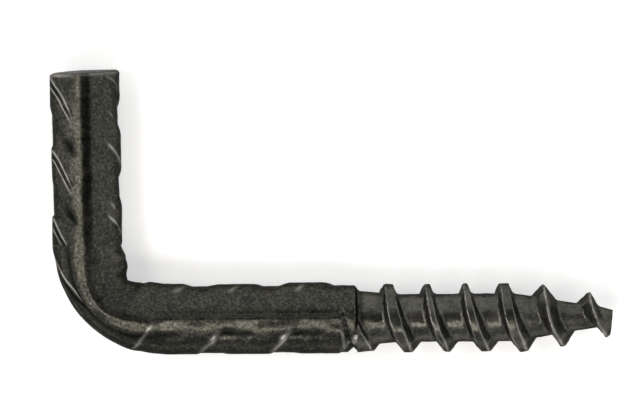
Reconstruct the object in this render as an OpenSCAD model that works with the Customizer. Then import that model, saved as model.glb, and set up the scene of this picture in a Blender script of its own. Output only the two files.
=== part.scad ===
// Screw hook bent from ribbed steel bar, with a coarse wood thread forged on its end.
// It lies flat: the L is in the XY plane and +Z is square to it.
// The origin is on the thread's axis at the shoulder. +X runs to the tip, and the arm points to +Y.

/* [Bar] */
// Diameter of the bar between its ribs
bar_d = 9.6; // [8.4:0.1:12]
// Length of the run, from the arm's axis to the shoulder
run_l = 38.6; // [36:0.1:60]
// Length of the arm, from the run's axis to its sheared end
arm_l = 35.8; // [30:0.1:60]
// How far the arm leans back from square, in degrees
arm_lean = 0.6; // [0:0.1:4]
// How far the sheared end is out of square, in degrees
end_shear = 2; // [0:0.5:10]
// How far the sheared end leans from upright, in degrees
end_tilt = 2.5; // [0:0.5:8]
// Chamfer left round the sheared end
end_chamfer = 0.5; // [0.2:0.05:1]

/* [Bend] */
// Radius of the outer side of the bend
bend_outer_r = 15.8; // [13:0.1:20]
// Radius in the inner corner of the bend
bend_inner_r = 0.7; // [0.4:0.1:1.5]
// Thickness of the bar across the middle of the bend
bend_t = 8.4; // [7.6:0.1:9.6]
// Depth of the outer half of that section, from its outer side to the seam ribs
bend_outer_half = 2.9; // [2.4:0.1:4.4]
// Height of the swelling on the inner side, just above the corner
swell_h = 0.42; // [0:0.02:0.6]
// Half length of that swelling
swell_l = 1.5; // [1:0.1:2.5]
// Distance of the swelling's middle from the start of the bend
swell_at = 2.7; // [2:0.1:4]

/* [Ribs] */
// Width of the two seam ribs that run along the bar, at their foot
seam_w = 2.4; // [1.6:0.1:3]
// Height of the seam ribs
seam_h = 0.42; // [0.3:0.02:0.8]
// Spacing of the cross ribs along the bar
rib_pitch = 10.2; // [8.5:0.1:14]
// Width of a cross rib's flat top, along the bar
rib_w = 4.4; // [3:0.1:5]
// Length of the slope on a cross rib's easy side
rib_slope_l = 0.9; // [0.5:0.1:1.2]
// Length of the slope on a cross rib's steep side
rib_step_l = 0.4; // [0.3:0.1:0.8]
// Height of the cross ribs on the inner side of the hook
rib_in_h = 0.42; // [0.3:0.01:0.7]
// Height of the cross ribs on the outer side of the hook, worn lower
rib_out_h = 0.26; // [0.2:0.01:0.6]
// Angle of the cross ribs from square across the bar
rib_angle = 37; // [20:1:45]
// Distance of the first inner rib's middle from the arm's end
rib_in_at = 1.4; // [0:0.1:8]
// Distance of the first outer rib's middle from the arm's end
rib_out_at = 3.3; // [0:0.1:8]

/* [Thread] */
// Length of the thread, from the shoulder to the tip
thread_l = 36.75; // [32:0.25:60]
// Outer diameter of the thread
thread_d = 9.95; // [8.8:0.05:12]
// Diameter of the root under the straight part of the thread
root_d = 6.95; // [6:0.05:7.6]
// Diameter of the root at the shoulder
neck_d = 7.9; // [7.4:0.1:8.2]
// Length over which the root narrows from the shoulder
neck_l = 6; // [4:0.5:8]
// Diameter of the blunt tip
tip_d = 2.4; // [2:0.1:4]
// Length over which the root tapers to the tip
taper_l = 14.2; // [8:0.1:20]
// Length over which the crest falls towards the tip
crest_taper_l = 10.6; // [6:0.1:16]
// Outer diameter of the thread at the tip
tip_crest_d = 5.2; // [4.2:0.1:7]
// Pitch of the straight part of the thread
thread_pitch = 5.55; // [5:0.05:7]
// Pitch of the last turns, where the thread opens out
tip_pitch = 6.6; // [5:0.1:8]
// Length of thread at that wider pitch
open_l = 10.1; // [6:0.1:14]
// How far the thread hangs back towards the shoulder on its upper side, where the dies met
hang_back = 0.7; // [0:0.05:0.8]
// Distance of the first full crest on the arm's side from the shoulder
first_crest = 4.62; // [4:0.02:5]
// Width of the thread's flat crest
crest_w = 0.95; // [0.4:0.05:1.4]
// Width of the crest on the taper, where it is nearly sharp
tip_crest_w = 0.15; // [0.1:0.05:0.6]
// Length over which the crest sharpens
sharpen_l = 5; // [2:0.5:10]
// Width of the crest where it leaves the shoulder
start_crest_w = 2.55; // [1.2:0.05:2.6]
// Length along the axis of the flank that faces the shoulder
back_flank = 0.7; // [0.5:0.05:1]
// Length along the axis of the flank that faces the tip
front_flank = 0.8; // [0.6:0.05:1.2]
// How much steeper the flanks are on the arm's side, as a share of their length
flank_swing = 0.35; // [0:0.05:0.4]
// Depth of the run-out groove behind the first turn
runout_depth = 0.75; // [0.4:0.05:1.2]
// Width of the run-out groove at the bar's surface
runout_w = 1.6; // [1:0.1:2.2]
// How far the blunt tip's cut is out of square, in degrees
tip_shear = 4; // [0:0.5:10]

/* [Shoulder] */
// Chamfer round the bar's end at the shoulder
shoulder_chamfer = 0.5; // [0.3:0.05:0.9]

/* [Hidden] */
bar_r = bar_d / 2;
// Overlap that buries one form in another
sink = 0.35;
// Steps round the bar between the seam ribs, round one turn of the thread and round its root
round_steps = 13;
turn_steps = 24;
root_steps = 64;
// How far a cross rib reaches to each side of its middle, in degrees round the bar, and how abruptly it ends
rib_reach = 76;
rib_fall = 4;
// Spare root that the tip's cut takes off and that the bar buries
trim = 2;
// Each flank of the thread flares out below a knee: its height, as a share of the depth, and its reach
knee_share = 0.2;
flare = 1.4;
thread_depth = (thread_d - root_d) / 2;
// Part of each turn over which the thread hangs back, in degrees from the arm's side
hang_turn = 145;
// Share of the crest's narrowing on the taper that comes off its front, and the share of it that the
// thread's foot keeps
sharp_front = 0.7;
foot_kept = 0.8;
// How sharply the inner side swings into the corner, and the room round it that the ribs leave clear
corner_swing = 1.3;
corner_clear = 1.5;
corner_room = 4;
// Thin overlap where the first turn starts, and its height as a share of the whole: there, and
// further on where it is just below the bar's surface
start_gap = 0.1;
start_rise = 0.3;
flush_rise = 0.76;

// The bend: its outer arc is tangent to the outer sides of the arm and the run
arm_foot = [-run_l, 0];
arm_dir = [-sin(arm_lean), cos(arm_lean)];
arm_out = [-cos(arm_lean), -sin(arm_lean)];
bend_y = bend_outer_r - bar_r;
bend_x = -run_l + (bend_y - bend_y * sin(arm_lean)) / cos(arm_lean);
bend_c = [bend_x, bend_y];
bend_u = (bend_c - arm_foot) * arm_dir;
bend_turn = 90 - arm_lean;
function bend_ray(t) = let (a = 180 + arm_lean + t * bend_turn) [cos(a), sin(a)];
function bend_outer(t) = bend_c + bend_outer_r * bend_ray(t);
corner_c = bend_c + (bend_outer_r - bend_t - bend_inner_r) * bend_ray(0.5);
function corner(t) = corner_c + bend_inner_r * bend_ray(t);
arm_inner = arm_foot + bend_u * arm_dir - bar_r * arm_out;
run_inner = [bend_x, bar_r];
function bend_inner(t) = corner(t) + (t < 0.5
    ? (arm_inner - corner(0)) * pow(1 - 2 * t, corner_swing)
    : (run_inner - corner(1)) * pow(2 * t - 1, corner_swing));

// Distance along the bar's axis from the arm's end: to the bend, past it, and to the shoulder
arm_end_s = arm_l - bend_u;
run_start_s = arm_end_s + bend_y * bend_turn * PI / 180;
bar_l = run_start_s - bend_x;

// The bar's section at a distance s: seam line, outward direction, outer half and inner half
function bend_section(t) = let (
        o = bend_outer(t),
        across = o - bend_inner(t),
        depth = norm(across),
        out = across / depth,
        outer = bar_r + (bend_outer_half - bar_r) * pow(sin(180 * t), 2)
    ) [o - outer * out, out, outer, depth - outer];
function section(s) = s < arm_end_s
    ? [arm_foot + (arm_l - s) * arm_dir, arm_out, bar_r, bar_r]
    : s > run_start_s
    ? [[s - bar_l, 0], [0, -1], bar_r, bar_r]
    : bend_section((s - arm_end_s) / (run_start_s - arm_end_s));

// A point on the bar: 0 degrees is the upper seam, 90 the outer side and 270 the inner side
function on_bar(s, a, lift) = let (
        c = section(s),
        half = sin(a) > 0 ? c[2] : c[3],
        out = half * sin(a) + lift * sin(a),
        xy = c[0] + out * c[1]
    ) [xy[0], xy[1], (bar_r + lift) * cos(a)];

// The seam ribs stand up from the round section in a smooth wave
seam_angle = asin(seam_w / 2 / bar_r);
seam_steps = 3;
function seam_lift(a) = seam_h * pow(cos(90 * a / seam_angle), 2);

// The cross ribs are low flat bands that run aslant over half of the bar and die out at the seams
rib_lead = bar_r * tan(rib_angle) * PI / 180;
function rib_profile(d) = max(0, min(1, d < 0
    ? 1 + (d + rib_w / 2) / rib_slope_l
    : 1 - (d - rib_w / 2) / rib_step_l));
function rib_fade(turn) = max(0, 1 - pow(abs(turn) / rib_reach, rib_fall));
function row_lift(s, turn, first, h) = let (
        d = s + rib_lead * turn - first,
        last = floor((bar_l - rib_w / 2 - first) / rib_pitch),
        rib = max(0, min(last, round(d / rib_pitch)))
    ) h * rib_fade(turn) * rib_profile(d - rib_pitch * rib);
function between(x, x0, x1, y0, y1) = y0 + (y1 - y0) * min(1, max(0, (x - x0) / (x1 - x0)));
bend_s = (arm_end_s + run_start_s) / 2;
function clear_of_corner(s) = between(abs(s - bend_s), corner_clear, corner_room, 0, 1);
function swell(s, a) = swell_h * max(0, -sin(a)) * exp(-pow((s - arm_end_s - swell_at) / swell_l, 2));
function rib_lift(s, a) = a < 180
    ? row_lift(s, a - 90, rib_out_at, rib_out_h)
    : row_lift(s, a - 270, rib_in_at, rib_in_h) * clear_of_corner(s) + swell(s, a);

// A ring round the bar is a list of [angle, height of the seam rib there]
round_step = (180 - 2 * seam_angle) / round_steps;
function half_ring(from) = concat(
    [for (i = [-seam_steps : seam_steps]) let (a = seam_angle * i / seam_steps) [from + a, seam_lift(a)]],
    [for (i = [1 : round_steps - 1]) [from + seam_angle + i * round_step, 0]]);
ring = concat(half_ring(0), half_ring(180));
function bar_ring(s, inset = 0, shear = 0, tilt = 0) = [for (p = ring) let (
        lift = p[1] + rib_lift(s, p[0]) - inset,
        shift = (bar_r + lift) * (tan(shear) * sin(p[0]) + tan(tilt) * cos(p[0]))
    ) on_bar(s + shift, p[0], lift)];

function mean(points, i = 0) = i == len(points) - 1
    ? points[i] / len(points)
    : points[i] / len(points) + mean(points, i + 1);

// A closed skin through a row of rings, each end filled from its middle
module skin(rings) {
    n = len(rings[0]);
    last = len(rings) - 1;
    points = concat([for (r = rings) each r], [mean(rings[0]), mean(rings[last])]);
    start = len(points) - 2;
    sides = [for (j = [0 : last - 1]) for (i = [0 : n - 1])
        let (a = j * n + i, b = j * n + (i + 1) % n)
        each [[a, a + n, b], [b, a + n, b + n]]];
    ends = [for (i = [0 : n - 1]) let (k = (i + 1) % n)
        each [[start, i, k], [start + 1, last * n + k, last * n + i]]];
    polyhedron(points, concat(sides, ends));
}

// The bar with its ribs, from the sheared end of the arm through the bend to the shoulder.
// Its rings are spaced so that the skin's diagonals run along the cross ribs.
module bar() {
    ring_gap = rib_lead * round_step;
    first = end_chamfer + bar_r * (tan(end_shear) + tan(end_tilt)) + ring_gap / 2;
    last = bar_l - shoulder_chamfer - ring_gap / 2;
    skin(concat(
        [bar_ring(0, end_chamfer, end_shear, end_tilt)],
        [bar_ring(end_chamfer, 0, end_shear, end_tilt)],
        [for (s = [first : ring_gap : last]) bar_ring(s)],
        [bar_ring(bar_l - shoulder_chamfer)],
        [bar_ring(bar_l, shoulder_chamfer)]));
}

// The thread's line: 0 degrees is on the arm's side, and it turns right-handed towards the tip
taper_x = thread_l - taper_l;
open_x = thread_l - open_l;
open_turn = 360 * (open_x - first_crest) / thread_pitch;
function hang(a) = let (t = a - 360 * floor(a / 360))
    a < 0 || t > hang_turn ? 0 : hang_back * sin(180 * t / hang_turn);
function thread_x(a) = a < open_turn
    ? first_crest + thread_pitch * a / 360 - hang(a)
    : open_x + tip_pitch * (a - open_turn) / 360 - hang(a);
function root_r(x) = x < neck_l
    ? between(x, 0, neck_l, neck_d / 2, root_d / 2)
    : between(x, taper_x, thread_l, root_d / 2, tip_d / 2);
function crest_r(x) = between(x, thread_l - crest_taper_l, thread_l, thread_d / 2, tip_crest_d / 2);
function round_axis(x, a, r) = [x, r * cos(a), r * sin(a)];

// Root of the thread, from inside the bar to past the tip
module root() {
    rotate([0, 90, 0])
        rotate_extrude($fn = root_steps)
            polygon([[0, -trim], [neck_d / 2, -trim], [neck_d / 2, 0], [root_d / 2, neck_l],
                     [root_d / 2, taper_x], [tip_d / 2, thread_l], [tip_d / 2, thread_l + trim],
                     [0, thread_l + trim]]);
}

// The first turn grows out of the shoulder, broad on the side that faces it: the shoulder's edge
// runs on as the first turn's front edge
start_a = -268;
broad_a = -232;
level_a = -180;
full_a = -40;
start_x = thread_x(start_a);
function crest_back(a) = a < broad_a
    ? between(a, start_a, broad_a, start_x + 2 * start_gap, start_crest_w - crest_w / 2)
    : between(a, level_a, full_a, start_crest_w - crest_w / 2, crest_w / 2);
function crest_rise(a) = a < broad_a
    ? between(a, start_a, broad_a, start_rise, flush_rise)
    : between(a, level_a, full_a, flush_rise, 1);
function crest_front(a) = between(a, start_a, level_a, -start_x - start_gap, crest_w / 2);

// On the taper the crest narrows to an edge, over a foot that stays broad on the arm's side
function sharp(x) = between(x, taper_x - sharpen_l / 2, taper_x + sharpen_l / 2, 0, 1);
function ridge_section(a) = let (
        x = thread_x(a),
        foot = root_r(x) - sink,
        rise = crest_rise(a) * (crest_r(x) - root_r(x)),
        top = root_r(x) + rise,
        knee = root_r(x) + knee_share * rise,
        narrow = sharp(x) * (crest_w - tip_crest_w),
        swing = flank_swing * (cos(a) > 0 ? cos(a) * (1 - sharp(x)) : cos(a)),
        share = min(1, rise / thread_depth) * (1 - swing),
        kept = foot_kept * (1 + cos(a)) / 2,
        back = back_flank * share + kept * (1 - sharp_front) * narrow,
        front = front_flank * share + kept * sharp_front * narrow,
        back_x = x - crest_back(a) + (1 - sharp_front) * narrow,
        front_x = x + crest_front(a) - sharp_front * narrow
    ) [round_axis(front_x + flare * front, a, foot), round_axis(front_x + front, a, knee),
       round_axis(front_x, a, top), round_axis(back_x, a, top),
       round_axis(back_x - back, a, knee), round_axis(back_x - flare * back, a, foot)];
end_a = open_turn + 360 * (open_l + crest_w + front_flank) / tip_pitch;
module ridge() {
    steps = ceil(turn_steps * (end_a - start_a) / 360);
    skin([for (i = [0 : steps]) ridge_section(start_a + (end_a - start_a) * i / steps)]);
}

// Blunt tip, cut a little out of square
module tip_cut() {
    translate([thread_l, 0, 0])
        rotate([0, 0, tip_shear])
            translate([0, -bar_d, -bar_d])
                cube(2 * bar_d);
}

// Shallow groove in the bar behind the first turn, where the thread runs out
groove_from = -310;
groove_full = -215;
groove_to = -130;
groove_lead = 0.39;
groove_over = 1;
groove_steps = 16;
function groove_section(a) = let (
        x = thread_x(a) - thread_pitch / 2 + groove_lead,
        depth = between(a, groove_from, groove_full, -2 * start_gap, runout_depth),
        half = runout_w / 2 * (depth + groove_over) / runout_depth
    ) [round_axis(x + half, a, bar_r + groove_over), round_axis(x - half, a, bar_r + groove_over),
       round_axis(x, a, bar_r - depth)];
module runout_groove() {
    turn = groove_to - groove_from;
    skin([for (i = [0 : groove_steps]) groove_section(groove_from + turn * i / groove_steps)]);
}

module screw_hook() {
    color([0.16, 0.16, 0.16])
        union() {
            difference() {
                bar();
                runout_groove();
            }
            difference() {
                union() {
                    root();
                    ridge();
                }
                tip_cut();
            }
        }
}

screw_hook();
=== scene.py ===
import math

import bpy
import numpy as np
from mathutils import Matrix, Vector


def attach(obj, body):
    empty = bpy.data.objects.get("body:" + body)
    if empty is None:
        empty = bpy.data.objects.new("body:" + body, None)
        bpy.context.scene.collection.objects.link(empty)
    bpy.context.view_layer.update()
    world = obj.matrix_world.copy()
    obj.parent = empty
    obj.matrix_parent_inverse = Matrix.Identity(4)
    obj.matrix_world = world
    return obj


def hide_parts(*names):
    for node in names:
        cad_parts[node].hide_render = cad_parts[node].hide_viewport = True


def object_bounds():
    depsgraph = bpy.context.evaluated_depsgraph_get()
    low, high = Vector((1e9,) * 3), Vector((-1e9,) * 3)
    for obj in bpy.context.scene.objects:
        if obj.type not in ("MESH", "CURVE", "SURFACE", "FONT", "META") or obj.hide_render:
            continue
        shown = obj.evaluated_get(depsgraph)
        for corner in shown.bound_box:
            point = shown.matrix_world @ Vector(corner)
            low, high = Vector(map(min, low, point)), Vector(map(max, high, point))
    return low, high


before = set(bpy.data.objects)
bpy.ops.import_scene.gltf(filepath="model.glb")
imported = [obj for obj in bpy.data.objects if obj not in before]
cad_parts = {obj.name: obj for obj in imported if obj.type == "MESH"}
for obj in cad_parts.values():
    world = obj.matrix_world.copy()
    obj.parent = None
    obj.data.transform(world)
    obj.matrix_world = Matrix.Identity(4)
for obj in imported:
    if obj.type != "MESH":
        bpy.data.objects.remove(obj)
cad_low, cad_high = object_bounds()
scene = bpy.context.scene
scene.view_settings.view_transform = "Standard"


# The hook is one length of rolled, ribbed steel bar, bent to an L and threaded on its longer leg.
# It starts as a sheet of squares that is wrapped into the bar, ring by ring, from the middle of the
# arm's sheared end to the middle of the blunt tip. Its sizes are in millimetres and degrees.
bar_radius = 4.77
run_length = 38.6
arm_length = 35.8
thread_length = 36.72

# The bend: the outer side keeps a round arc, and the inner side folds to a sharp corner.
arm_lean = math.radians(0.6)
bend_radius = 15.77
corner_radius = 0.7
bend_thickness = 8.34
bend_outer_half = 2.9
fold_power = 1.3
arm_foot = np.array([-run_length, 0.0])
arm_way = np.array([-math.sin(arm_lean), math.cos(arm_lean)])
arm_out = np.array([-math.cos(arm_lean), -math.sin(arm_lean)])
bend_height = bend_radius - bar_radius
bend_x = -run_length + bend_height * (1 - math.sin(arm_lean)) / math.cos(arm_lean)
bend_middle = np.array([bend_x, bend_height])
bend_foot = (bend_middle - arm_foot) @ arm_way
bend_turn = math.pi / 2 - arm_lean
straight_arm = arm_length - bend_foot
straight_run = straight_arm + bend_height * bend_turn
bar_length = straight_run - bend_x


def bend_ray(share):
    turn = math.pi + arm_lean + share * bend_turn
    return np.array([math.cos(turn), math.sin(turn)])


corner_middle = bend_middle + (bend_radius - bend_thickness - corner_radius) * bend_ray(0.5)


def bend_inside(share):
    corner = corner_middle + corner_radius * bend_ray(share)
    if share < 0.5:
        foot = arm_foot + bend_foot * arm_way - bar_radius * arm_out
        return corner + (foot - corner_middle - corner_radius * bend_ray(0)) * (1 - 2 * share) ** fold_power
    foot = np.array([bend_x, bar_radius])
    return corner + (foot - corner_middle - corner_radius * bend_ray(1)) * (2 * share - 1) ** fold_power


def bar_section(at):
    """Seam point, outward direction, and depths of the outer and inner half, at a place on the bar."""
    if at < straight_arm:
        return (*(arm_foot + (arm_length - at) * arm_way), *arm_out, bar_radius, bar_radius)
    if at > straight_run:
        return (at - bar_length, 0.0, 0.0, -1.0, bar_radius, bar_radius)
    share = (at - straight_arm) / (straight_run - straight_arm)
    outside = bend_middle + bend_radius * bend_ray(share)
    across = outside - bend_inside(share)
    depth = np.linalg.norm(across)
    outer = bar_radius + (bend_outer_half - bar_radius) * math.sin(math.pi * share) ** 2
    return (*(outside - outer * across / depth), *(across / depth), outer, depth - outer)


# The rings: the end face, the bar, the fall of the shoulder, the thread and the tip's face. They lie
# closer together near the bar's two edges.
sides = 128
end_face = [0.0, 0.3, 0.6, 0.85]
tip_face = [0.8, 0.5, 0.0]
shoulder_fall = [0.15, 0.4, 0.7, 1.0]
near_edge = 0.6
bar_rings = np.concatenate([np.linspace(0, near_edge, 6)[:-1],
                            np.linspace(near_edge, bar_length - near_edge, 424),
                            np.linspace(bar_length - near_edge, bar_length, 7)[1:]])
thread_rings = np.linspace(0, thread_length, 324)[1:]
tip_at = bar_length + thread_length
place = np.concatenate([np.zeros(len(end_face)), bar_rings, np.full(len(shoulder_fall), bar_length),
                        bar_length + thread_rings, np.full(len(tip_face), tip_at)])
rings = len(place)
face_share = np.concatenate([end_face, np.ones(rings - len(end_face) - len(tip_face)), tip_face])[:, None]
fall = np.concatenate([np.zeros(len(end_face) + len(bar_rings)), shoulder_fall,
                       np.ones(len(thread_rings) + len(tip_face))])[:, None]
on_face = face_share < 1
on_thread = fall > 0

bpy.ops.object.select_all(action="DESELECT")
bpy.ops.mesh.primitive_grid_add(x_subdivisions=rings - 1, y_subdivisions=sides, size=2)
hook = bpy.context.object
hook.name = "screw_hook_bar"
sheet = np.empty(3 * len(hook.data.vertices))
hook.data.vertices.foreach_get("co", sheet)
sheet = sheet.reshape(-1, 3)
ring_of = np.rint((sheet[:, 0] + 1) / 2 * (rings - 1)).astype(int)
side_of = np.rint((sheet[:, 1] + 1) / 2 * sides).astype(int)

# Where each point of the sheet lies: along the bar from the arm's end, round it from the upper seam by
# way of the hook's outer side, and past the shoulder.
round_deg = np.arange(sides + 1) * 360.0 / sides
along = place[:, None] + 0 * round_deg[None, :]
angle = round_deg[None, :] + 0 * along
past_shoulder = along - bar_length
outward = np.sin(np.radians(angle))
upward = np.cos(np.radians(angle))
straight = np.stack([along, bar_radius * outward, bar_radius * upward], axis=-1)


def uneven(points, grain, seed):
    """Soft unevenness between about -1 and 1, with hollows and swellings of the grain's size."""
    waves = 14
    usual_height = 5.3
    dice = np.random.default_rng(seed)
    ways = dice.normal(size=(waves, 3))
    ways /= np.linalg.norm(ways, axis=1)[:, None]
    ways *= (2 * math.pi / grain) * dice.uniform(0.6, 1.5, waves)[:, None]
    return np.sin(points @ ways.T + dice.uniform(0, 2 * math.pi, waves)).sum(axis=-1) / usual_height


def ease(value):
    """Goes smoothly from nothing to one as the value does."""
    value = np.clip(value, 0, 1)
    return value * value * (3 - 2 * value)


def rising(value, start, length):
    return ease((value - start) / length)


def falling(value, end, length):
    return ease((end - value) / length)


def bell(value, middle, width):
    return np.exp(-((value - middle) / width) ** 2)


def blend(share, first, second):
    return share * first + (1 - share) * second


def at_places(places, values):
    """A value at each point, from its values at some places along the bar."""
    return np.interp(along, places, values)


# The rolled seam: a low ridge along the bar above and below, where the two rolls met. It is faint on
# the arm, a broad terrace over a furrow on the bend, and on the run it has a sharp inner edge.
from_seam = (angle + 90) % 180 - 90
seam_deg = from_seam * np.where((angle > 90) & (angle < 270), -1, 1)
bend_at = (straight_arm + straight_run) / 2
change_lead = 4
change_length = 7
on_run = rising(along, straight_run - change_lead, change_length)
in_bend = rising(along, straight_arm - change_lead, change_length) - on_run
before_bend = 1 - on_run - in_bend


def seam_ridge(degrees, heights):
    """Height of the seam at each point, from its heights at some degrees round from its middle."""
    softened = [np.interp(seam_deg + off, degrees, heights) for off in (-2, 0, 2)]
    return sum(softened) / len(softened)


lift = before_bend * seam_ridge(
    [-19, -8, 0, 6, 8, 12, 16, 21, 25, 30, 36, 45],
    [0, 0.09, 0.10, 0.10, 0.08, 0.055, 0.045, 0.052, 0.07, 0.10, 0.07, 0])
lift += in_bend * seam_ridge(
    [-16, -8, 0, 4, 8, 12, 20, 24, 28, 33, 38, 46],
    [0, 0.10, 0.19, 0.18, 0.14, 0.115, 0.105, 0.08, -0.06, -0.14, -0.13, 0])
lift += on_run * seam_ridge(
    [-13, -9, -7, -4, 0, 4, 8, 12, 18, 25, 32],
    [0, -0.05, 0.0, 0.32, 0.24, 0.17, 0.115, 0.08, 0.06, 0.045, 0])

# The rolled cross ribs: a row of low slanted bands on the hook's outer side and one on its inner side,
# which die out towards the seams. The dies were worn, so a band has one crisp edge with a thin lip, and
# its other edge runs out softly.
rib_pitch = 10.2
rib_width = 4.4
rib_radius = 4.8
rib_wobble = 0.22
crisp_first_fall = 0.35
crisp_last_fall = 0.38
soft_first_fall = 1.9
soft_last_fall = 1.6
fade_power = 3
wobble = rib_wobble * uneven(straight, grain=6, seed=11)
on_arm = falling(along, end=35, length=4)
off_corner = rising(np.abs(along - bend_at), start=1.5, length=2.5)


def slanted(turn, slant):
    """How far a rib has gone along the bar at some degrees round from its middle."""
    return rib_radius * np.tan(np.radians(slant)) * np.radians(turn)


def nearest_rib(path, first):
    """Number of the rib nearest to each point, and the point's distance past that rib's middle."""
    along_row = along + path - first + wobble
    last = math.floor((bar_length - rib_width / 2 - first) / rib_pitch)
    rib = np.clip(np.rint(along_row / rib_pitch), 0, last)
    return rib, along_row - rib_pitch * rib


def rib_band(past_rib, first_fall, last_fall):
    before = (-rib_width / 2 - past_rib) / first_fall
    after = (past_rib - rib_width / 2) / last_fall
    return ease(1 - before) * ease(1 - after)


def rib_strength(rib, start):
    """The ribs of a row weren't all rolled to the same depth."""
    usual_strength = 0.88
    strength_change = 0.22
    change_step = 2.4
    return usual_strength + strength_change * np.sin(change_step * rib + start)


def rib_fade(from_middle, reach):
    return np.clip(1 - (from_middle / reach) ** fade_power, 0, 1)


# A lip lies just inside the band's crisp edge. Where both edges are soft, it is a line within the band.
# The greater its fineness, the narrower the lip.
lip_inset = 0.12
lip_reach = 2.5
lip_fade = 0.2
soft_fineness = 0.6


def lip_distance(rib, past_rib, crisp_first, crisp_last):
    within_band = past_rib - np.interp(rib, [4, 5, 6], [3.4, 1.2, 0.4])
    on_last = past_rib - rib_width / 2 + lip_inset
    on_first = past_rib + rib_width / 2 - lip_inset
    line = np.where(crisp_last > 0.5, on_last, soft_fineness * within_band)
    return np.where(crisp_first > 0.5, on_first, line)


# The outer row: straight double lips on the arm with painted shade between them, and single ones on the
# run, all with painted highlights.
outer_turn = angle - 90
from_outer = np.abs(outer_turn)
outer_first = 3.3
outer_height = 0.26
outer_reach = at_places([22, 44], [70, 88])
outer_slant = at_places([22, 30, 37, 41, 46], [48, 40, 20, 20, 34])
outer_shift = at_places([1.1, 11, 21.5, 30, 37, 41, 46], [0.85, 0.5, 0.75, 0.4, -2.2, -2.0, 0])
arm_slope = 1.9
arm_path = arm_slope * rib_radius * np.sign(outer_turn) * (1 - np.cos(np.radians(outer_turn)))
outer_path = blend(on_arm, arm_path, slanted(outer_turn, outer_slant)) + outer_shift
rib, past_rib = nearest_rib(outer_path, outer_first)
outer_strength = rib_strength(rib, start=90)
crisp_first = falling(along, end=27, length=4)
crisp_last = 1 - on_arm
step_last = crisp_last * (on_arm + rising(along, start=40, length=4))
outer_band = rib_band(past_rib, blend(crisp_first, crisp_first_fall, soft_first_fall),
                      blend(step_last, crisp_last_fall, soft_last_fall))
lift += outer_height * outer_strength * rib_fade(from_outer, outer_reach) * outer_band
rib_end_height = 0.13
rib_end_inset = 0.4
rib_ends = bell(past_rib, middle=rib_end_inset - rib_width / 2, width=0.5)
lift += rib_end_height * on_arm * rib_ends * bell(from_outer, middle=63, width=5)

run_fineness = at_places([41, 46], [0.85, 0.4])
outer_line = lip_distance(rib, past_rib, crisp_first, crisp_last) * blend(on_arm, 1, run_fineness)
arm_lip_end = at_places([15, 22], [68, 60])
run_lip_end = at_places([42, 46], [90, 76])
# How bright the lips' painted highlights are, on the arm and on the run.
arm_lip_glint = 1.4
arm_lip_gap_shade = 0.85
arm_shown = on_arm * falling(from_outer, arm_lip_end, length=8)
arm_shown = arm_shown * (1 + rising(from_outer, start=10, length=8)) / 2
run_shown = (1 - on_arm) * falling(from_outer, run_lip_end, length=14)
run_glint = 0.42 + 0.4 * bell(from_outer, middle=51, width=9)
outer_shown = (arm_lip_glint * arm_shown + run_glint * run_shown) * (1 + outer_strength) / 2
lip_gap_shade = arm_lip_gap_shade * arm_shown * bell(outer_line, middle=0.72, width=0.36)

# The inner row: single lips with painted highlights, dull next to the arm's sheared end, and none at the
# corner of the bend.
inner_turn = angle - 270
from_inner = np.abs(inner_turn)
inner_first = 1.4
inner_height = 0.42
inner_fineness = 0.8
inner_reach = at_places([22, 44], [58, 54])
inner_slant = at_places([22, 44], [36, 31])
rib, past_rib = nearest_rib(slanted(inner_turn, inner_slant), inner_first)
inner_strength = rib_strength(rib, start=270) * off_corner
inner_band = rib_band(past_rib, soft_first_fall, blend(on_arm ** 2, crisp_last_fall, soft_last_fall))
lift += inner_height * inner_strength * rib_fade(from_inner, inner_reach) * inner_band

inner_line = inner_fineness * lip_distance(rib, past_rib, 0 * along, on_arm)
arm_lips = 0.9 * falling(from_inner, end=52, length=10)
run_lips = 0.4 * falling(from_inner, end=42, length=10)
middle_dull = 1 - 0.5 * falling(from_inner, end=30, length=15)
end_dull = 1 - 0.65 * falling(along, end=4.5, length=1.5)
inner_shown = blend(on_arm, arm_lips, run_lips) * middle_dull * end_dull * off_corner
inner_shown = inner_shown * (1 + inner_strength) / 2

halves = [from_outer < 90, from_inner < 90]
lip_line = np.clip(np.select(halves, [outer_line, inner_line]), -lip_reach, lip_reach)
lip_and_glint_share = np.select(halves, [outer_shown, inner_shown]) * falling(np.abs(lip_line), lip_reach, lip_fade)
lip_pair = np.where(halves[0], crisp_first, 0)

# Beside the seam on the outer side the rolls left hollows between the ribs, and two deeper nicks. Painted
# shade lies in the hollows, along the run's seam, in the furrow and the corner of the bend, and on the
# outer side.
hollow_depth = 0.21
hollow_start = 0.4
inner_side = np.clip(-outward, 0, 1)
outer_side = np.clip(1.6 * outward - 0.6, 0, 1)
between_ribs = (1 + np.cos((along - hollow_start) * 2 * math.pi / rib_pitch)) / 2 * (1 - in_bend)
lift -= hollow_depth * bell(seam_deg, middle=28, width=8) * between_ribs * blend(on_arm, 0.4, 1)
hollow_shade = 0.8 * bell(seam_deg, middle=25, width=5) * between_ribs * blend(on_arm, 0.3, 1)
run_seam_shade = 0.7 * on_run * bell(seam_deg, middle=-6.5, width=2.6)
furrow_shade = 0.85 * in_bend * bell(seam_deg, middle=33, width=6)
# A painted dark reflection of the dark opening overhead lies along the arm's seam.
arm_seam = rising(seam_deg, start=-15, length=8) * falling(seam_deg, end=8, length=6)
arm_dark_reflection = before_bend * arm_seam * (0.75 + 0.15 * uneven(straight, grain=3, seed=9))
corner_shade = 0.5 * inner_side * bell(along, middle=bend_at, width=3.5)
outer_side_shade = outer_side * (0.45 * in_bend + 0.35 * on_run)
painted_shade = lip_gap_shade + hollow_shade + run_seam_shade + furrow_shade + arm_dark_reflection + corner_shade + outer_side_shade

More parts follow.
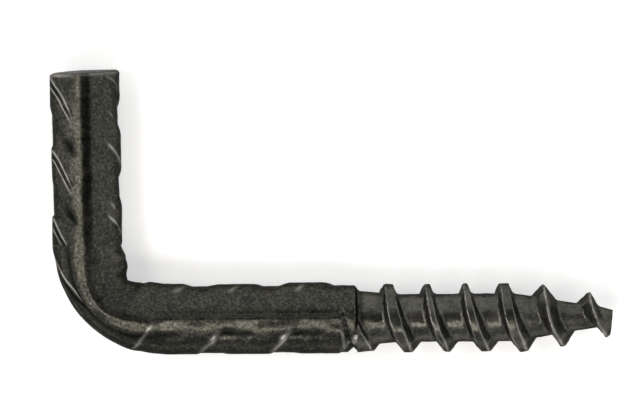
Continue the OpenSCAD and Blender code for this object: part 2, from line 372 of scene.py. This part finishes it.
# Each nick is darkened with painted shade.
nick_deg = 29
nick_slant = 0.079
nick_depth = 0.32
nick_shade = 1.3
gentle_side = 0.9
steep_side = 0.16
for nick_at in (11.3, 21.0):
    past_nick = along - nick_at + nick_slant * (angle - nick_deg)
    nick = bell(past_nick, middle=0, width=np.where(past_nick < 0, gentle_side, steep_side))
    nick = nick * bell(angle, nick_deg, width=9)
    lift -= nick_depth * nick
    painted_shade += nick_shade * np.sqrt(nick)

# The bar swells above the corner of the bend and at both ends of its outer arc. It is a little thinner
# on the arm's inner side and thicker on the run's outer side.
arm_thinner = 0.12
run_thicker = 0.09
for side, swell_at, half_length, height in ((inner_side, 27.5, 1.5, 0.42), (outer_side, 28.7, 1.8, 0.15),
                                            (outer_side, 40.5, 2.5, 0.14)):
    lift += height * side * bell(along, swell_at, half_length)
lift += run_thicker * outer_side * on_run
lift -= arm_thinner * inner_side * falling(along, end=20, length=6)

# Mill scale and handling leave the surface a little uneven, with drawn-out roll marks beside the seam.
roll_mark_height = 0.036
drawn_out = np.array([0.4, 1, 1])
for height, grain, seed in ((0.04, 7, 1), (0.02, 2.2, 2)):
    lift += height * uneven(straight, grain, seed)
roll_marks = uneven(straight * drawn_out, grain=2.0, seed=6)
lift += roll_mark_height * roll_marks * bell(seam_deg, middle=20, width=16)

# The sheared end is rounded by the shear on its edge and cut a little out of square.
end_edge = 0.5
end_short = 0.05
end_blend = 5
end_share = np.clip(1 - along / end_edge, 0, 0.999)
lift -= end_edge * (1 - np.sqrt(1 - end_share ** 2))
end_across = math.tan(math.radians(2.2)) * outward
end_upright = math.tan(math.radians(4)) * upward
end_slope = ((end_across + end_upright) * bar_radius + end_short) * falling(along, end_blend, end_blend)

# The coat is rubbed off on the sheared edge. Painted highlights lie in two short strokes over small bumps
# on the arm's inner side, and in a long stroke on the outer edge of the bend.
end_worn = 0.75
rub_length = 0.4
end_rub = 0.4 + 0.6 * rising(angle, start=15, length=20) * falling(angle, end=110, length=30)
worn = end_worn * np.clip(1.6 - along / rub_length, 0, 1) * end_rub
inner_glint_slant = 0.06
scuff_worn = 0.45
inner_glint_bump = 0.08
for inner_glint_at, inner_glint_deg in ((6.4, 306), (19.4, 308)):
    past_inner_glint = along - inner_glint_at + inner_glint_slant * (angle - inner_glint_deg)
    inner_glint = bell(past_inner_glint, middle=0, width=0.22) * bell(angle, inner_glint_deg, width=6)
    worn = np.maximum(worn, scuff_worn * inner_glint)
    lift += inner_glint_bump * inner_glint
scrape_worn = 0.5
bend_glint_deg = 66 - 1.4 * (along - 28.6)
bend_glint = rising(along, start=28, length=1) * falling(along, end=33.4, length=1)
bend_glint = bend_glint * bell(angle, bend_glint_deg, width=3) * (0.6 + 0.4 * uneven(straight, grain=1.5, seed=12))
worn = np.maximum(worn, scrape_worn * bend_glint)

# The wood thread was forged between dies and cut: its root narrows to a blunt tip, and its crest
# is broad and flat near the shoulder and sharp on the taper. It turns right-handed.
thread_pitch = 5.55
tip_pitch = 6.6
first_crest = 4.62
open_x = thread_length - 10.1
open_turn = 360 * (open_x - first_crest) / thread_pitch
last_turn = open_turn + 360 * 12 / tip_pitch
first_turn = -268
first_back = 2.2
hang_back = 0.7
hang_turn = 145
tip_hang = 0.5
full_rise = 1.5
# Width of the crest at each quarter turn, from the side away from the arm on
crest_widths = [2.4, 1.5, 1.05, 1.6, 1.1, 0.9, 0.65, 0.75, 0.65, 0.55, 0.45, 1.1, 1.2,
                1.2, 1.15, 1.4, 1.0, 0.5, 0.1, 0.15, 0.45, 0.3, 0.1, 0.15, 0.2]
quarter_turns = np.arange(len(crest_widths)) * 90 - 180


def thread_place(turn):
    """Place of the crest's middle: it hangs back near the tip and where the dies met above."""
    hang = np.where(turn < 0, 0, hang_back * np.sin(math.pi * np.clip(turn % 360 / hang_turn, 0, 1)))
    hang = hang + tip_hang * rising(turn, start=1440, length=120) * (1 - np.cos(np.radians(turn))) / 2
    even_place = first_crest + thread_pitch * turn / 360
    open_place = open_x + tip_pitch * (turn - open_turn) / 360
    return np.where(turn < open_turn, even_place, open_place) - hang


def root_radius(at):
    return np.interp(at, [0, 6, 22.5, thread_length - 2, thread_length], [3.95, 3.46, 3.46, 1.5, 0.95])


def crest_radius(at):
    return np.interp(at, [-0.5, 1.7, 3, thread_length - 10.6, thread_length], [4.7, 4.78, 4.95, 4.95, 2.95])


root = root_radius(past_shoulder)
thread = root.copy()
crest_glint = 0 * along
ragged = 0.05 * uneven(straight, grain=1.6, seed=20) + 0.04 * uneven(straight, grain=0.7, seed=30)
for lap in range(-1, 6):
    turn = angle + 90 + 360 * lap
    slow_wave = 0.05 * np.sin(np.radians(turn * 0.83 + 40))
    quick_wave = 0.03 * np.sin(np.radians(turn * 2.3))
    crest_at = thread_place(turn) + slow_wave + quick_wave
    past_crest = past_shoulder - crest_at
    width = np.interp(turn, quarter_turns, crest_widths)
    arm_side = (1 + np.cos(np.radians(turn))) / 2
    sharp = rising(turn, start=1250, length=160)
    steep = arm_side * (1 - sharp)
    last_sharp = 0.3 - 0.45 * rising(turn, start=1500, length=300)
    back_flank = 0.95 - 0.65 * steep + 0.2 * sharp * arm_side
    front_flank = 1.05 - 0.6 * steep + last_sharp * sharp * arm_side
    fillet = 0.45 + 0.2 * arm_side
    knee = 0.1 + 0.12 * arm_side
    # The first quarter turn grows out of the shoulder, with a front edge of its own.
    growing = turn < -180
    first_front = np.interp(turn, [-264, -250, -212, -180], [-0.2, 0.43, 1.75, 2.17])
    back = np.where(growing, first_back, width / 2 + 0.25 * falling(turn, end=0, length=180) * width)
    front = np.where(growing, first_front - crest_at, width - back)
    back = back + ragged
    front = front + 0.7 * ragged[::-1]
    rise = crest_radius(crest_at) - root_radius(crest_at)
    rise = rise * (1 - 0.05 * (1 + np.sin(np.radians(turn * 1.31))) / 2)
    size = np.clip(rise / full_rise, 0.2, 1)
    past_back = -past_crest - back
    past_front = past_crest - front
    down_flank = np.maximum(past_back / (back_flank * size), past_front / (front_flank * size))
    past_flank = np.maximum(past_back - back_flank * size, past_front - front_flank * size)
    on_flank = 1 - (1 - knee) * np.maximum(down_flank, 0)
    height = np.where(down_flank < 1, on_flank, knee * np.clip(1 - past_flank / fillet, 0, 1) ** 2)
    height = np.where((turn < first_turn) | (turn > last_turn), 0, height)
    top = root + rise * height
    on_back = past_back / back_flank > past_front / front_flank
    # The crest edges get a painted highlight: the back edge towards the arm, the front edge away from it.
    edge_glint = np.where(on_back, 0.25 + 0.75 * arm_side, (1 - arm_side) ** 1.5)
    edge_glint = edge_glint * bell(down_flank, middle=0, width=0.16)
    crest_glint = np.where(top > thread, edge_glint, crest_glint)
    thread = np.maximum(thread, top)

# Behind the first turn the thread runs out in a shallow groove in the bar, with a painted highlight along
# its lip.
groove_lead = thread_pitch / 2 - 0.39
groove_slope = 0.75 / 0.8
groove_half = 1.07
groove_glint_gap = 0.05
groove_worn = 0.55
groove = 0 * along
for lap in (-2, -1):
    turn = angle + 90 + 360 * lap
    past_groove = past_shoulder - first_crest - thread_pitch * turn / 360 + groove_lead
    deep = np.interp(turn, [-300, -280, -200, -135, -130], [0, 0.3, 0.8, 0.75, 0])
    deep = np.where((turn < -300) | (turn > -130), 0, deep)
    groove = np.maximum(groove, deep - np.abs(past_groove) * groove_slope)
    groove_glint = bell(past_groove, middle=-groove_half * deep - groove_glint_gap, width=0.16) * (deep > 0)
    groove_glint = groove_glint * rising(angle, start=20, length=8) * falling(angle, end=62, length=8)
    worn = np.maximum(worn, groove_worn * groove_glint)
lift -= np.clip(groove, 0, None)

# The bar's edge at the shoulder is rounded and slopes down to the root, with a painted shadow at the foot
# of the slope, all round but where the first turn grows out of it.
shoulder_edge = 0.45
shoulder_slope = 0.4
clear_part = 1 - rising(angle, start=14, length=12) * falling(angle, end=140, length=20)
edge_share = np.where(on_thread, 0, np.clip(1 + past_shoulder / shoulder_edge, 0, 1) * clear_part)
lift -= shoulder_edge * edge_share ** 2
slope_share = np.clip(1 - past_shoulder / shoulder_slope, 0, 1) * clear_part
thread = np.maximum(thread, root + (bar_radius - shoulder_edge - root) * slope_share)
for height, grain, seed in ((0.03, 3, 4), (0.015, 1.1, 5)):
    thread += height * uneven(straight, grain, seed)
shoulder_shadow = 0.6 * clear_part * bell(past_shoulder, middle=0.55, width=0.3)

# Every point goes to its place: on the arm, round the bend, along the run or on the thread. The cut of
# the tip is out of square. The sheet's two long edges meet on the upper seam.
tip_slant = math.tan(math.radians(5))
tip_cut = 3
section = np.array([bar_section(min(at, bar_length)) for at in place])
half = np.where(outward > 0, section[:, 4:5], section[:, 5:6])
out = blend(fall, thread, half + lift) * outward * face_share
up = blend(fall, thread, bar_radius + lift) * upward * face_share
point_x = section[:, 0:1] + out * section[:, 2:3] + np.clip(past_shoulder, 0, None)
point_y = section[:, 1:2] + out * section[:, 3:4]
point_x -= end_slope * face_share * arm_way[0]
point_y -= end_slope * face_share * arm_way[1]
near_tip = np.clip(1 - (thread_length - past_shoulder) / tip_cut, 0, 1) * (past_shoulder > 0)
point_x += tip_slant * point_y * near_tip
points = np.stack([point_x, point_y, up], axis=-1) * 0.001
points = np.clip(points, np.array(cad_low), np.array(cad_high))
points[:, sides] = points[:, 0]
hook.data.vertices.foreach_set("co", points[ring_of, side_of].ravel())

# The coat's marks: where it is rubbed off or carries a painted highlight, how much painted shade it has,
# and where the ribs' lips lie.
lip_sharpness = 26
lip_and_glint_share = np.where(on_thread | on_face, 0, lip_and_glint_share)
painted_shade = np.where(on_thread, shoulder_shadow, np.clip(painted_shade, 0, 1))
# The painted shade gives way along the lip lines, under their painted highlights.
painted_shade = painted_shade * (1 - 0.9 * lip_and_glint_share * np.exp(-lip_sharpness * lip_line ** 2))
painted_shade = np.where(on_face, 0, painted_shade)
# On the thread the crest edges carry painted highlights.
worn = np.where(on_thread, 0.095 + 0.78 * crest_glint, worn)
worn = np.where(on_face, 0.10, worn)
for name, values in (("worn", worn), ("painted_shade", painted_shade), ("lip_line", lip_line), ("lip_and_glint_share", lip_and_glint_share),
                     ("lip_pair", lip_pair)):
    marks = hook.data.attributes.new(name, "FLOAT", "POINT")
    marks.data.foreach_set("value", values[ring_of, side_of].astype(np.float32))
hook.data.update()

# The sheet's two long edges and its ends are closed, and its faces are turned outwards.
bpy.ops.object.mode_set(mode="EDIT")
bpy.ops.mesh.select_all(action="SELECT")
bpy.ops.mesh.remove_doubles(threshold=0.000002)
bpy.ops.mesh.normals_make_consistent(inside=False)
bpy.ops.object.mode_set(mode="OBJECT")
bpy.ops.object.shade_smooth_by_angle(angle=math.radians(50))

# The coat is a thin satin black, uneven, and darkened with painted shade. It is rubbed to bare steel on the
# sheared end, and painted highlights in the bare steel's colour lie on the thread's crest edges and on the
# thin lips that the worn dies left along the ribs' crisp edges.
coat_dark = (0.027, 0.029, 0.024, 1)
coat_pale = (0.072, 0.068, 0.058, 1)
bare_steel_and_glint = (0.42, 0.41, 0.38, 1)
shade_black = (0.006, 0.007, 0.005, 1)
pair_gap = 1.45
coat = bpy.data.materials.new("satin_black_coat")
coat.use_nodes = True
nodes, links = coat.node_tree.nodes, coat.node_tree.links
shader = nodes["Principled BSDF"]
shader.inputs["Metallic"].default_value = 0.85
shader.inputs["Specular IOR Level"].default_value = 0.2
shader.inputs["Specular Tint"].default_value = (0.10, 0.10, 0.09, 1)
coords = nodes.new("ShaderNodeTexCoord")


def feed(node, terms):
    """Each term is a number for its socket or another node's output."""
    for socket, term in zip(node.inputs, terms):
        if isinstance(term, (int, float)):
            socket.default_value = term
        else:
            links.new(term, socket)


def noise(scale, detail, roughness):
    node = nodes.new("ShaderNodeTexNoise")
    node.inputs["Scale"].default_value = scale
    node.inputs["Detail"].default_value = detail
    node.inputs["Roughness"].default_value = roughness
    links.new(coords.outputs["Object"], node.inputs["Vector"])
    return node.outputs["Fac"]


def count(operation, *terms):
    node = nodes.new("ShaderNodeMath")
    node.operation = operation
    feed(node, terms)
    return node.outputs[0]


def spread(value, low, high, to_low, to_high):
    node = nodes.new("ShaderNodeMapRange")
    feed(node, (value, low, high, to_low, to_high))
    return node.outputs["Result"]


def ramp(value, first_at, first, last_at, last):
    node = nodes.new("ShaderNodeValToRGB")
    for element, position, colour in zip(node.color_ramp.elements, (first_at, last_at), (first, last)):
        element.position = position
        element.color = colour
    links.new(value, node.inputs["Fac"])
    return node.outputs["Color"]


def marked(name):
    node = nodes.new("ShaderNodeAttribute")
    node.attribute_name = name
    return node.outputs["Fac"]


def lip_at(offset):
    """A thin line along the ribs' edges, at an offset from the lip."""
    distance = count("ABSOLUTE", count("SUBTRACT", marked("lip_line"), offset))
    return count("EXPONENT", count("MULTIPLY", count("POWER", distance, 2), -lip_sharpness))


def coated(under, share, colour):
    node = nodes.new("ShaderNodeMix")
    node.data_type = "RGBA"
    node.inputs["B"].default_value = colour
    links.new(share, node.inputs["Factor"])
    links.new(under, node.inputs["A"])
    return node.outputs["Result"]


blotch = noise(scale=430, detail=3, roughness=0.55)
speck = noise(scale=2600, detail=2, roughness=0.5)
# The lips are a bump and a painted highlight in the bare steel's colour.
lip_bump_and_glint = count("ADD", lip_at(0), count("MULTIPLY", lip_at(pair_gap), marked("lip_pair")))
lip_bump_and_glint = count("MULTIPLY", lip_bump_and_glint, marked("lip_and_glint_share"))
bare_and_glint = count("MAXIMUM", marked("worn"), lip_bump_and_glint)
bare_and_glint = count("MULTIPLY", bare_and_glint, spread(blotch, low=0.40, high=0.62, to_low=0.6, to_high=1.1))
sand = spread(speck, low=0.60, high=0.80, to_low=0.0, to_high=0.10)
mottle = count("ADD", count("MULTIPLY", blotch, 0.3), count("MULTIPLY", speck, 0.7))
colour = ramp(mottle, 0.40, coat_dark, 0.62, coat_pale)
colour = coated(colour, count("MAXIMUM", bare_and_glint, sand), bare_steel_and_glint)
# Painted shade darkens the coat towards black.
shade_amount = count("MULTIPLY", marked("painted_shade"), spread(blotch, low=0.40, high=0.62, to_low=1.0, to_high=0.8))
colour = coated(colour, shade_amount, shade_black)
links.new(colour, shader.inputs["Base Color"])
sheen = spread(blotch, low=0.3, high=0.7, to_low=0.23, to_high=0.38)
links.new(sheen, shader.inputs["Roughness"])
surface = None
for height, strength, depth in ((speck, 0.45, 0.00004), (blotch, 0.5, 0.00018), (lip_bump_and_glint, 0.8, 0.00010)):
    bump = nodes.new("ShaderNodeBump")
    bump.inputs["Strength"].default_value = strength
    bump.inputs["Distance"].default_value = depth
    links.new(height, bump.inputs["Height"])
    if surface:
        links.new(surface, bump.inputs["Normal"])
    surface = bump.outputs["Normal"]
links.new(surface, shader.inputs["Normal"])
hook.data.materials.clear()
hook.data.materials.append(coat)
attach(hook, "root")
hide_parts("screw_hook")


# The floor is a plain white table that the hook lies on, with room all round it.
# It is matt, and it looks white to the camera and in reflections, with the hook's soft shadow on it.
table_size = 6
table_gap = 0.00005
table_white = (0.8, 0.8, 0.8, 1)
table_glow = 0.4
bpy.ops.object.select_all(action="DESELECT")
bpy.ops.mesh.primitive_plane_add(size=table_size, location=(0, 0, cad_low.z - table_gap))
floor = bpy.context.object
floor.name = "white_table"
table_top = bpy.data.materials.new("white_table_top")
table_top.use_nodes = True
nodes, links = table_top.node_tree.nodes, table_top.node_tree.links
nodes.remove(nodes["Principled BSDF"])
matt = nodes.new("ShaderNodeBsdfDiffuse")
matt.inputs["Color"].default_value = table_white
rays = nodes.new("ShaderNodeLightPath")
seen = count("MAXIMUM", rays.outputs["Is Camera Ray"], rays.outputs["Is Glossy Ray"])
seen = count("MAXIMUM", seen, rays.outputs["Is Transmission Ray"])
glow = nodes.new("ShaderNodeEmission")
links.new(count("MULTIPLY", seen, table_glow), glow.inputs["Strength"])
both = nodes.new("ShaderNodeAddShader")
links.new(matt.outputs[0], both.inputs[0])
links.new(glow.outputs[0], both.inputs[1])
links.new(both.outputs[0], nodes["Material Output"].inputs["Surface"])
floor.data.materials.append(table_top)


# The light is an even white tent round the hook, with a dark opening overhead where the camera looks
# in, and dimmer on the near side. Three small warm lamps stand on its left, its near side and between.
tent_white = (1, 1, 1, 1)
opening_dark = (0.02, 0.02, 0.02, 1)
world = bpy.data.worlds.new("white_tent")
scene.world = world
world.use_nodes = True
nodes, links = world.node_tree.nodes, world.node_tree.links
sky = nodes.new("ShaderNodeTexCoord")
split = nodes.new("ShaderNodeSeparateXYZ")
links.new(sky.outputs["Generated"], split.inputs["Vector"])
tent = ramp(split.outputs["Z"], 0.78, tent_white, 0.93, opening_dark)
near_side = spread(split.outputs["Y"], low=-0.9, high=-0.3, to_low=0.35, to_high=1.1)
links.new(tent, nodes["Background"].inputs["Color"])
links.new(near_side, nodes["Background"].inputs["Strength"])

lamp_height = 0.40
lamp_deep = 0.14
lamp_warm = (1.0, 0.95, 0.88)
for name, lamp_x, lamp_y, lamp_wide, power in (("left_lamp", -0.26, 0.02, 0.14, 0.35),
                                               ("near_lamp", 0.0, -0.26, 0.16, 0.44),
                                               ("corner_lamp", -0.20, -0.20, 0.14, 0.50)):
    bpy.ops.object.light_add(type="AREA", location=(lamp_x, lamp_y, lamp_height))
    lamp = bpy.context.object
    lamp.name = name
    lamp.data.shape = "RECTANGLE"
    lamp.data.size = lamp_wide
    lamp.data.size_y = lamp_deep
    lamp.data.energy = power
    lamp.data.color = lamp_warm
    lamp.rotation_euler = (-lamp.location).to_track_quat("-Z", "Y").to_euler()
    lamp.visible_camera = False


# The camera looks straight down on the hook from far off, turned a hair, as the photograph does.
# The frame is 640 by 412, and 6.95 of its pixels are one millimetre at the thread's axis.
camera_x = -0.00522
camera_y = 0.01619
camera_height = 0.9
camera_turn = math.radians(-0.37)
frame_pixels = 640
pixels_per_mm = 6.95
frame_width = 0.001 * frame_pixels / pixels_per_mm
sensor_width = 36
bpy.ops.object.camera_add(location=(camera_x, camera_y, camera_height), rotation=(0, 0, camera_turn))
camera = bpy.context.object
camera.data.sensor_width = sensor_width
camera.data.lens = sensor_width * camera_height / frame_width
scene.camera = camera
